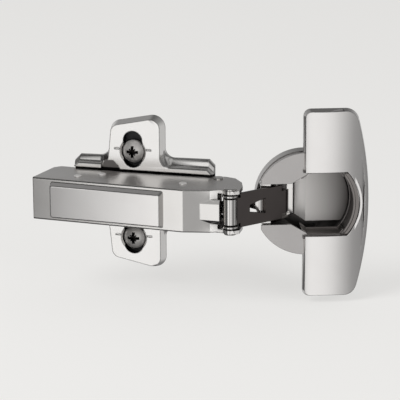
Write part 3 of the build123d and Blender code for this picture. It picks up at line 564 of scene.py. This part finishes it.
def screw_piece(node, name, out, thread):
    """A packed plate screw with its plain shank changed for a thread and painted shade in its recess."""
    bm = merged_copy(node)
    low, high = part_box(node)
    base = Vector(((low.x + high.x) / 2, (low.y + high.y) / 2, (low.z + high.z) / 2))
    foot = base - out * base.dot(out)
    cut_off(bm, foot, -out)
    for face in bm.faces:
        place = face.calc_center_median() - foot
        height = place.dot(out)
        radial = (place - out * height).length
        sunk = face.normal.dot(out) < 0.6 or height < RECESS_TOP * MM
        # painted shade: faces sunk in the recess get the near-black finish
        if radial < RECESS_RADIUS * MM and sunk and height > RECESS_FLOOR * MM:
            face.material_index = 1
    shank = threaded_shank(*thread)
    shank.transform(Matrix.Translation(foot) @ upright(out))
    join(bm, shank)
    return new_piece(name, bm, ("screw", "hollow"), frame["nodes"][node]["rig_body"], (node,))


def slot_shade_washer(name, slot_height, screw_height, thickness):
    """Thin black washer that fills the back of a slot and holds its screw; it is painted shade, standing in
    for the shadow behind the plate.
    """
    bm = bmesh.new()
    outer = bmesh.ops.create_circle(bm, segments=48, radius=WASHER_RADIUS * MM)["verts"]
    for vert in outer:
        vert.co.y += (slot_height + (WASHER_HALF_TRAVEL if vert.co.y > 0 else -WASHER_HALF_TRAVEL)) * MM
    inner = bmesh.ops.create_circle(bm, segments=48, radius=WASHER_BORE * MM)["verts"]
    bmesh.ops.translate(bm, verts=inner, vec=(0, screw_height * MM, 0))
    bmesh.ops.bridge_loops(bm, edges=bm.edges[:])
    grown = bmesh.ops.extrude_face_region(bm, geom=bm.faces[:])["geom"]
    bmesh.ops.translate(bm, verts=verts_of(grown), vec=(0, 0, thickness * MM))
    bm.transform(Matrix.Translation((0, -WASHER_DEPTH * MM, 0)) @ Matrix.Rotation(pi / 2, 4, "X"))
    bmesh.ops.recalc_face_normals(bm, faces=bm.faces)
    piece = new_piece(name, bm, ("acetal",), "base")
    return piece


class HINGE_OT_plate_screws(bpy.types.Operator):
    """Cut a coarse panel thread on the two plate screws, and hold them in the slots with black washers that
    are painted shade
    """

    bl_idname = "hinge.plate_screws"
    bl_label = "Plate screws"

    def execute(self, context):
        sizes = context.scene.hinge_threads
        pitch, root = sizes.plate_pitch_mm, sizes.plate_root_mm
        thread = (PLATE_SHANK_RADIUS, root, pitch, PLATE_SHANK, sizes.steps, PLATE_POINT)
        for side in SIDES:
            screw_piece("plate_screw_" + side, "threaded_plate_screw_" + side, Vector((0, -1, 0)), thread)
        # painted shade: a black washer fills the back of each slot
        thickness = context.scene.hinge_fittings.washer_mm
        for side, slot, screw in zip(SIDES, SLOT_HEIGHTS, SCREW_HEIGHTS):
            slot_shade_washer("slot_shade_washer_" + side, slot, screw, thickness)
        return {"FINISHED"}


class HINGE_OT_cup_screws(bpy.types.Operator):
    """Cut a wood thread on the two cup screws"""

    bl_idname = "hinge.cup_screws"
    bl_label = "Cup screws"

    def execute(self, context):
        sizes = context.scene.hinge_threads
        along, up = CUP_SCREW_PLACE
        start, end = CUP_SHANK
        for side, sign in zip(SIDES, (1, -1)):
            bm = merged_copy("cup_screw_" + side)
            foot = CUP_CENTRE + CUP_ALONG * (along * MM) + Vector((0, 0, sign * up * MM))
            shank = threaded_shank(
                CUP_SHANK_RADIUS, sizes.cup_root_mm, sizes.cup_pitch_mm, CUP_SHANK, sizes.steps
            )
            shank.transform(Matrix.Translation(foot) @ upright(CUP_AXIS))
            cut_away(bm, foot + CUP_AXIS * (end * MM), -CUP_AXIS, foot + CUP_AXIS * (start * MM))
            join(bm, shank)
            new_piece("threaded_cup_screw_" + side, bm, ("screw",), "cup", ("cup_screw_" + side,))
        return {"FINISHED"}


# ------------------------------------------------------------------ arm
def inside_arm(centre, normal):
    """Whether a face of the arm is inside the fold."""
    between = abs(centre.z) < ARM_INSIDE_REACH * MM and -centre.y < ARM_INSIDE_HEIGHT * MM
    return between and normal.y > -0.2


def on_arm_side(centre, normal):
    """Whether a face of the arm is on the outside of a side wall."""
    return abs(normal.z) > 0.9 and abs(centre.z) > ARM_SIDE * MM


def on_front_bend(centre, normal):
    """Whether a face of the arm is on the sharp bend at its front."""
    return centre.x > ARM_FRONT_BEND * MM and normal.x > 0.4 and normal.y < -0.5


class HINGE_OT_arm(bpy.types.Operator):
    """Finish the folded arm: painted shade inside, rubbed sides and a painted highlight on the bend at its
    front
    """

    bl_idname = "hinge.arm"
    bl_label = "Arm"

    def execute(self, context):
        bm = merged_copy("hinge_arm")
        # painted shade inside the fold, and a painted highlight on the front bend
        for index, test in enumerate((inside_arm, on_arm_side, on_front_bend), 1):
            recoloured(bm, test, index)
        new_piece("folded_arm", bm, ("sheet", "inside", "flank", "bent"), "arm", ("hinge_arm",))
        return {"FINISHED"}


class HINGE_OT_arm_cap(bpy.types.Operator):
    """Finish the cap on the arm"""

    bl_idname = "hinge.arm_cap"
    bl_label = "Arm cap"

    def execute(self, context):
        paint("arm_cover_cap", "cover")
        return {"FINISHED"}


def pin_distance(point):
    """Distance of a point from the axis of the arm's pin, in metres."""
    return hypot(point.x - KNUCKLE.x, point.y - KNUCKLE.y)


def grooved_collar(node, ring, groove):
    """Turned collar on the arm's pin: one raised ring between two grooves that get painted shade."""
    low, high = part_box(node)
    floor, top = low.z / MM, high.z / MM
    bm = bmesh.new()
    profile = [bm.verts.new((r * MM, 0, z * MM)) for r, z in (
        (COLLAR_BORE, floor),
        (groove, floor),
        (groove, floor + GROOVE_WIDTH),
        (COLLAR_SHOULDER, floor + SHOULDER_HEIGHT),
        (ring, floor + RING_HEIGHT),
        (ring, top - RING_HEIGHT),
        (COLLAR_SHOULDER, top - SHOULDER_HEIGHT),
        (groove, top - GROOVE_WIDTH),
        (groove, top),
        (COLLAR_BORE, top),
    )]
    lines = [bm.edges.new(pair) for pair in zip(profile, [*profile[1:], profile[0]])]
    bmesh.ops.spin(
        bm,
        geom=[*profile, *lines],
        cent=(0, 0, 0),
        axis=(0, 0, 1),
        angle=2 * pi,
        steps=64,
        use_merge=True,
        use_duplicate=False,
    )
    bmesh.ops.recalc_face_normals(bm, faces=bm.faces)
    bmesh.ops.translate(bm, verts=bm.verts, vec=(KNUCKLE.x, KNUCKLE.y, 0))
    # painted shade: the grooves get the near-black finish
    recoloured(bm, lambda centre, normal: pin_distance(centre) < GROOVE_REACH * MM, 1)
    return new_piece("grooved_" + node, bm, ("pin", "hollow"), "arm", (node,), crease=35)


class HINGE_OT_arm_fittings(bpy.types.Operator):
    """Turn the grooved collars, and finish the rivets and pins of the arm"""

    bl_idname = "hinge.arm_fittings"
    bl_label = "Rivets, pins and collars"

    def execute(self, context):
        for node in ("outer_arm_pin", "inner_arm_pin", "spring_pin"):
            paint(node, "pin")
        paint("arm_rivets", "rivet")
        sizes = context.scene.hinge_fittings
        for side in SIDES:
            grooved_collar(side + "_collar", sizes.collar_ring_mm, sizes.collar_groove_mm)
        return {"FINISHED"}


class HINGE_OT_works(bpy.types.Operator):
    """Finish the carrier, the latch, the adjusters, the damper and the springs"""

    bl_idname = "hinge.works"
    bl_label = "Works inside the arm"

    def execute(self, context):
        for node in ("arm_carrier", "release_lever"):
            paint(node, "sheet")
        for node in ("tilt_pin", "lever_pin"):
            paint(node, "pin")
        for node in ("depth_screw", "side_screw"):
            paint(node, "screw")
        for node in ("closing_spring", "lever_spring"):
            paint(node, "spring")
        for node in ("damper_cylinder", "damper_rod"):
            paint(node, "turned")
        paint("adjuster_block", "zinc")
        paint("damper_housing", "acetal")
        return {"FINISHED"}


# ------------------------------------------------------------------ links
class HINGE_OT_links(bpy.types.Operator):
    """Blacken the outer link, leave its rolled knuckle bright, and finish the inner link"""

    bl_idname = "hinge.links"
    bl_label = "Links"

    def execute(self, context):
        bm = merged_copy("outer_link")
        recoloured(bm, lambda centre, normal: pin_distance(centre) < KNUCKLE_REACH * MM, 1)
        new_piece("rolled_outer_link", bm, ("dark", "pin"), "outer_link", ("outer_link",))
        paint("inner_link", "pin")
        return {"FINISHED"}


# ------------------------------------------------------------------ cup
def inside_cup(centre, normal):
    """Whether a face of the cup is inside it, or under the lip of its flange."""
    along, out, z = cup_place(centre)
    reach = hypot(along, z)
    past, lip, rise = FLANGE_LIP
    in_bowl = reach < CUP_INSIDE_REACH and CUP_INSIDE_HEIGHTS[0] < out < CUP_INSIDE_HEIGHTS[1]
    return in_bowl or (along > past and reach < lip and out > rise)


class HINGE_OT_cup(bpy.types.Operator):
    """Finish the drawn cup, with painted shade inside it, with its pins and bracket"""

    bl_idname = "hinge.cup"
    bl_label = "Cup"

    def execute(self, context):
        bm = merged_copy("hinge_cup")
        # painted shade inside the cup and under its flange's lip
        recoloured(bm, inside_cup, 1)
        new_piece("drawn_cup", bm, ("cup", "inner"), "cup", ("hinge_cup",), flat=False)
        for node in ("outer_cup_pin", "inner_cup_pin"):
            paint(node, "pin")
        paint("pin_bracket", "sheet")
        return {"FINISHED"}


class HINGE_OT_mouth(bpy.types.Operator):
    """Finish the lining of the cup's mouth and its insert, both with painted shade"""

    bl_idname = "hinge.mouth"
    bl_label = "Insert and lining"

    def execute(self, context):
        # painted shade: the insert darkens along X
        paint("cup_insert", "insert")
        paint("mouth_liner", "lining")
        return {"FINISHED"}


def even_crown(mesh):
    """Gives the cap's crown the even normals of the long cylinder it is part of."""
    normals = []
    for face in mesh.polygons:
        for corner in face.loop_indices:
            along, out, z = cup_place(mesh.vertices[mesh.loops[corner].vertex_index].co)
            radial = (CUP_ALONG * (along - CROWN_MIDDLE) + CUP_AXIS * (out + CROWN_DEPTH)).normalized()
            on_crown = face.normal.dot(radial) > 0.996
            normals.append(radial if on_crown else mesh.corner_normals[corner].vector.copy())
    mesh.normals_split_custom_set(normals)


def in_cap_mouth(centre, normal):
    """Whether a face of the cup's cap is in its cutout or on its back."""
    along, out, z = cup_place(centre)
    lean = normal.dot(CUP_AXIS)
    at_links = along < CAP_MOUTH[0] and abs(z) < CAP_MOUTH[1]
    at_side = along < CAP_SIDE[0] and abs(z) < CAP_SIDE[1] and abs(lean) < 0.5
    return at_links or at_side or lean < -0.5


class HINGE_OT_cup_cap(bpy.types.Operator):
    """Finish the cap over the cup's flange, with painted shade in its cutout and on its back, and even out
    its crown
    """

    bl_idname = "hinge.cup_cap"
    bl_label = "Cup cap"

    def execute(self, context):
        bm = merged_copy("cup_cover_cap")
        # painted shade in the cap's cutout and on its back
        recoloured(bm, in_cap_mouth, 1)
        finishes = ("cover", "inner")
        piece = new_piece("crowned_cup_cap", bm, finishes, "cup", ("cup_cover_cap",), crease=24, flat=False)
        even_crown(piece.data)
        return {"FINISHED"}


# ------------------------------------------------------------------ stage
class HingeStageSettings(bpy.types.PropertyGroup):
    """Camera and floor."""

    lens: FloatProperty(
        name="Lens", description="Camera focal length", default=180.3, subtype="DISTANCE_CAMERA"
    )
    distance: FloatProperty(
        name="Distance", description="Camera distance", default=0.72, unit="LENGTH"
    )
    azimuth: FloatProperty(
        name="Azimuth", description="Camera turn round Z", default=radians(16), subtype="ANGLE"
    )
    elevation: FloatProperty(
        name="Elevation", description="Camera height angle", default=radians(15), subtype="ANGLE"
    )
    roll: FloatProperty(name="Roll", description="Camera roll", default=radians(-0.28), subtype="ANGLE")
    floor_drop: FloatProperty(
        name="Floor drop", description="Gap under the hinge", default=0.002, unit="LENGTH"
    )
    floor_colour: FloatVectorProperty(
        name="Floor colour",
        description="Colour of the floor",
        default=linear("EDECEA")[:3],
        subtype="COLOR",
        size=3,
    )


def build_floor(settings):
    """Large pale floor that catches the hinge's soft shadow."""
    bm = bmesh.new()
    bmesh.ops.create_grid(bm, x_segments=1, y_segments=1, size=6.0)
    bmesh.ops.translate(bm, verts=bm.verts, vec=(0, 0, CAD_BOX[0].z - settings.floor_drop))
    mesh = bpy.data.meshes.new("floor")
    bm.to_mesh(mesh)
    bm.free()
    floor = bpy.data.objects.new("floor", mesh)
    bpy.context.scene.collection.objects.link(floor)
    material, tree = new_material("pale_floor_paint")
    paint_shader = add(tree, "ShaderNodeBsdfDiffuse")
    paint_shader.inputs["Color"].default_value = (*settings.floor_colour, 1)
    glow = add(tree, "ShaderNodeEmission", Strength=1.0)
    glow.inputs["Color"].default_value = (*settings.floor_colour, 1)
    path = add(tree, "ShaderNodeLightPath")
    seen = add(tree, "ShaderNodeMath", operation="MAXIMUM")
    tree.links.new(path.outputs["Is Camera Ray"], seen.inputs[0])
    tree.links.new(path.outputs["Is Transmission Ray"], seen.inputs[1])
    share = add(tree, "ShaderNodeMath", {0: seen.outputs["Value"]}, operation="MULTIPLY")
    share.inputs[1].default_value = 0.7
    shaders = {0: share.outputs["Value"], 1: paint_shader.outputs[0], 2: glow.outputs[0]}
    mix = add(tree, "ShaderNodeMixShader", shaders)
    add(tree, "ShaderNodeOutputMaterial", {"Surface": mix.outputs["Shader"]})
    mesh.materials.append(material)
    floor.visible_glossy = False


def banded(tree, value, stops):
    """Grey ramp over a 0 to 1 value; stops are (place, grey) pairs."""
    ramp = add(tree, "ShaderNodeValToRGB", {"Fac": value})
    ramp.color_ramp.interpolation = "LINEAR"
    elements = ramp.color_ramp.elements
    while len(elements) < len(stops):
        elements.new(0.5)
    for element, (place, grey) in zip(elements, stops):
        element.position = place
        element.color = (grey, grey, grey, 1)
    return ramp.outputs["Color"]


# brightness of the studio as the metal mirrors it, round the compass, in degrees from ahead of the plate
ROUND_BANDS = (
    (-180, 0.36),
    (-164, 0.32),
    (-150, 0.62),
    (-125, 0.62),
    (-108, 0.18),
    (-80, 0.08),
    (-62, 0.22),
    (-45, 0.10),
    (-30, 0.06),
    (-28, 0.34),
    (-25.6, 1.15),
    (-22, 1.20),
    (-19, 1.08),
    (-10, 1.06),
    (1, 1.00),
    (5, 0.46),
    (13, 0.46),
    (17, 1.05),
    (27, 1.00),
    (33, 0.88),
    (39, 0.64),
    (46, 0.37),
    (54, 0.30),
    (72, 0.14),
    (88, 0.60),
    (110, 0.12),
    (125, 0.62),
    (150, 0.62),
    (166, 0.42),
)
# and from the ground at -1 to overhead at 1
HEIGHT_BANDS = ((-1.0, 0.16), (-0.75, 0.22), (-0.5, 0.9), (0.0, 1.0), (0.25, 0.85), (0.55, 0.45), (1.0, 0.34))


def build_world(context):
    """White surroundings; mirrored in metal, they are a studio with dark flags between its white walls."""
    world = bpy.data.worlds.new("studio")
    context.scene.world = world
    world.use_nodes = True
    tree = world.node_tree
    tree.nodes.clear()
    direction = add(tree, "ShaderNodeTexCoord").outputs["Generated"]
    heading = add(tree, "ShaderNodeSeparateXYZ", {"Vector": direction})
    ahead = add(tree, "ShaderNodeMath", {0: heading.outputs["Y"]}, operation="MULTIPLY")
    ahead.inputs[1].default_value = -1.0
    sides = {0: heading.outputs["X"], 1: ahead.outputs["Value"]}
    angle = add(tree, "ShaderNodeMath", sides, operation="ARCTAN2")
    compass = add(tree, "ShaderNodeMapRange", {"Value": angle.outputs["Value"]})
    compass.inputs["From Min"].default_value = -pi
    compass.inputs["From Max"].default_value = pi
    height = add(tree, "ShaderNodeMapRange", {"Value": heading.outputs["Z"]})
    height.inputs["From Min"].default_value = -1.0
    round_tone = banded(tree, compass.outputs["Result"], [((d + 180) / 360, g) for d, g in ROUND_BANDS])
    height_tone = banded(tree, height.outputs["Result"], [((h + 1) / 2, g) for h, g in HEIGHT_BANDS])
    tones = {"A": round_tone, "B": height_tone}
    room = add(tree, "ShaderNodeMix", tones, data_type="RGBA", blend_type="MULTIPLY")
    room.inputs["Factor"].default_value = 1.0
    path = add(tree, "ShaderNodeLightPath")
    mirrored = add(tree, "ShaderNodeMath", operation="MAXIMUM")
    tree.links.new(path.outputs["Is Glossy Ray"], mirrored.inputs[0])
    tree.links.new(path.outputs["Is Transmission Ray"], mirrored.inputs[1])
    tone = add(
        tree,
        "ShaderNodeMix",
        {"Factor": mirrored.outputs["Value"], "B": room.outputs["Result"]},
        data_type="RGBA",
    )
    tone.inputs["A"].default_value = (1, 1, 1, 1)
    shown = add(tree, "ShaderNodeMath", operation="MAXIMUM")
    tree.links.new(path.outputs["Is Camera Ray"], shown.inputs[0])
    tree.links.new(mirrored.outputs["Value"], shown.inputs[1])
    strength = add(tree, "ShaderNodeMapRange", {"Value": shown.outputs["Value"]})
    strength.inputs["To Min"].default_value = 0.5
    strength.inputs["To Max"].default_value = 1.0
    ground = add(
        tree,
        "ShaderNodeBackground",
        {"Color": tone.outputs["Result"], "Strength": strength.outputs["Result"]},
    )
    add(tree, "ShaderNodeOutputWorld", {"Surface": ground.outputs["Background"]})


def area_lamp(name, place, aim, size, power):
    """Soft rectangular lamp aimed at a point."""
    data = bpy.data.lights.new(name, "AREA")
    data.shape = "RECTANGLE"
    data.size, data.size_y = size
    data.energy = power
    lamp = bpy.data.objects.new(name, data)
    lamp.location = place
    lamp.visible_glossy = False
    lamp.rotation_euler = (Vector(aim) - Vector(place)).to_track_quat("-Z", "Y").to_euler()
    bpy.context.scene.collection.objects.link(lamp)


def build_lamps():
    """Key and fill lamps on the hinge's middle."""
    middle = (0.025, 0, 0)
    area_lamp("key_lamp", (-0.5, -0.7, 0.8), middle, (0.6, 0.6), 8)
    area_lamp("fill_lamp", (0.9, -0.6, 0.3), middle, (0.5, 0.8), 3)


def build_camera(context, settings):
    """Long lens on the hinge's open side."""
    aim = Vector(CAMERA_AIM) * MM
    a, e = settings.azimuth, settings.elevation
    back = Vector((sin(a) * cos(e), -cos(a) * cos(e), sin(e)))
    camera = bpy.data.objects.new("camera", bpy.data.cameras.new("camera"))
    camera.data.lens = settings.lens
    camera.data.sensor_width = 36.0
    camera.data.clip_start = 0.01
    camera.data.clip_end = 20.0
    turn = (-back).to_track_quat("-Z", "Y").to_matrix().to_4x4() @ Matrix.Rotation(settings.roll, 4, "Z")
    camera.matrix_world = Matrix.Translation(aim + back * settings.distance) @ turn
    context.scene.collection.objects.link(camera)
    context.scene.camera = camera
    context.scene.view_settings.view_transform = "Standard"


class HINGE_OT_stage(bpy.types.Operator):
    """Build the floor, the lamps, the world and the camera"""

    bl_idname = "hinge.stage"
    bl_label = "Stage"

    def execute(self, context):
        settings = context.scene.hinge_stage
        build_floor(settings)
        build_world(context)
        build_lamps()
        build_camera(context, settings)
        return {"FINISHED"}


# ------------------------------------------------------------------ panel and run
STEPS = (
    HINGE_OT_plate,
    HINGE_OT_plate_screws,
    HINGE_OT_arm,
    HINGE_OT_arm_cap,
    HINGE_OT_arm_fittings,
    HINGE_OT_works,
    HINGE_OT_links,
    HINGE_OT_cup,
    HINGE_OT_mouth,
    HINGE_OT_cup_cap,
    HINGE_OT_cup_screws,
    HINGE_OT_stage,
)


class HINGE_PT_panel(bpy.types.Panel):
    """Sidebar list of the hinge's sizes and steps."""

    bl_label = "Cup hinge"
    bl_idname = "HINGE_PT_panel"
    bl_space_type = "VIEW_3D"
    bl_region_type = "UI"
    bl_category = "Cup hinge"

    def draw(self, context):
        for group, cls in SETTINGS.items():
            for name in cls.__annotations__:
                self.layout.prop(getattr(context.scene, group), name)
        for step in STEPS:
            self.layout.operator(step.bl_idname)


SETTINGS = {
    "hinge_fittings": HingeFittingSettings,
    "hinge_threads": HingeThreadSettings,
    "hinge_stage": HingeStageSettings,
}
CLASSES = (*SETTINGS.values(), *STEPS, HINGE_PT_panel)


def register():
    for cls in CLASSES:
        bpy.utils.register_class(cls)
    for name, cls in SETTINGS.items():
        setattr(bpy.types.Scene, name, PointerProperty(type=cls))


def unregister():
    for name in SETTINGS:
        delattr(bpy.types.Scene, name)
    for cls in reversed(CLASSES):
        bpy.utils.unregister_class(cls)


def main():
    """Register and run every step."""
    register()
    for step in STEPS:
        group, name = step.bl_idname.split(".")
        getattr(getattr(bpy.ops, group), name)()


if __name__ == "__main__":
    main()
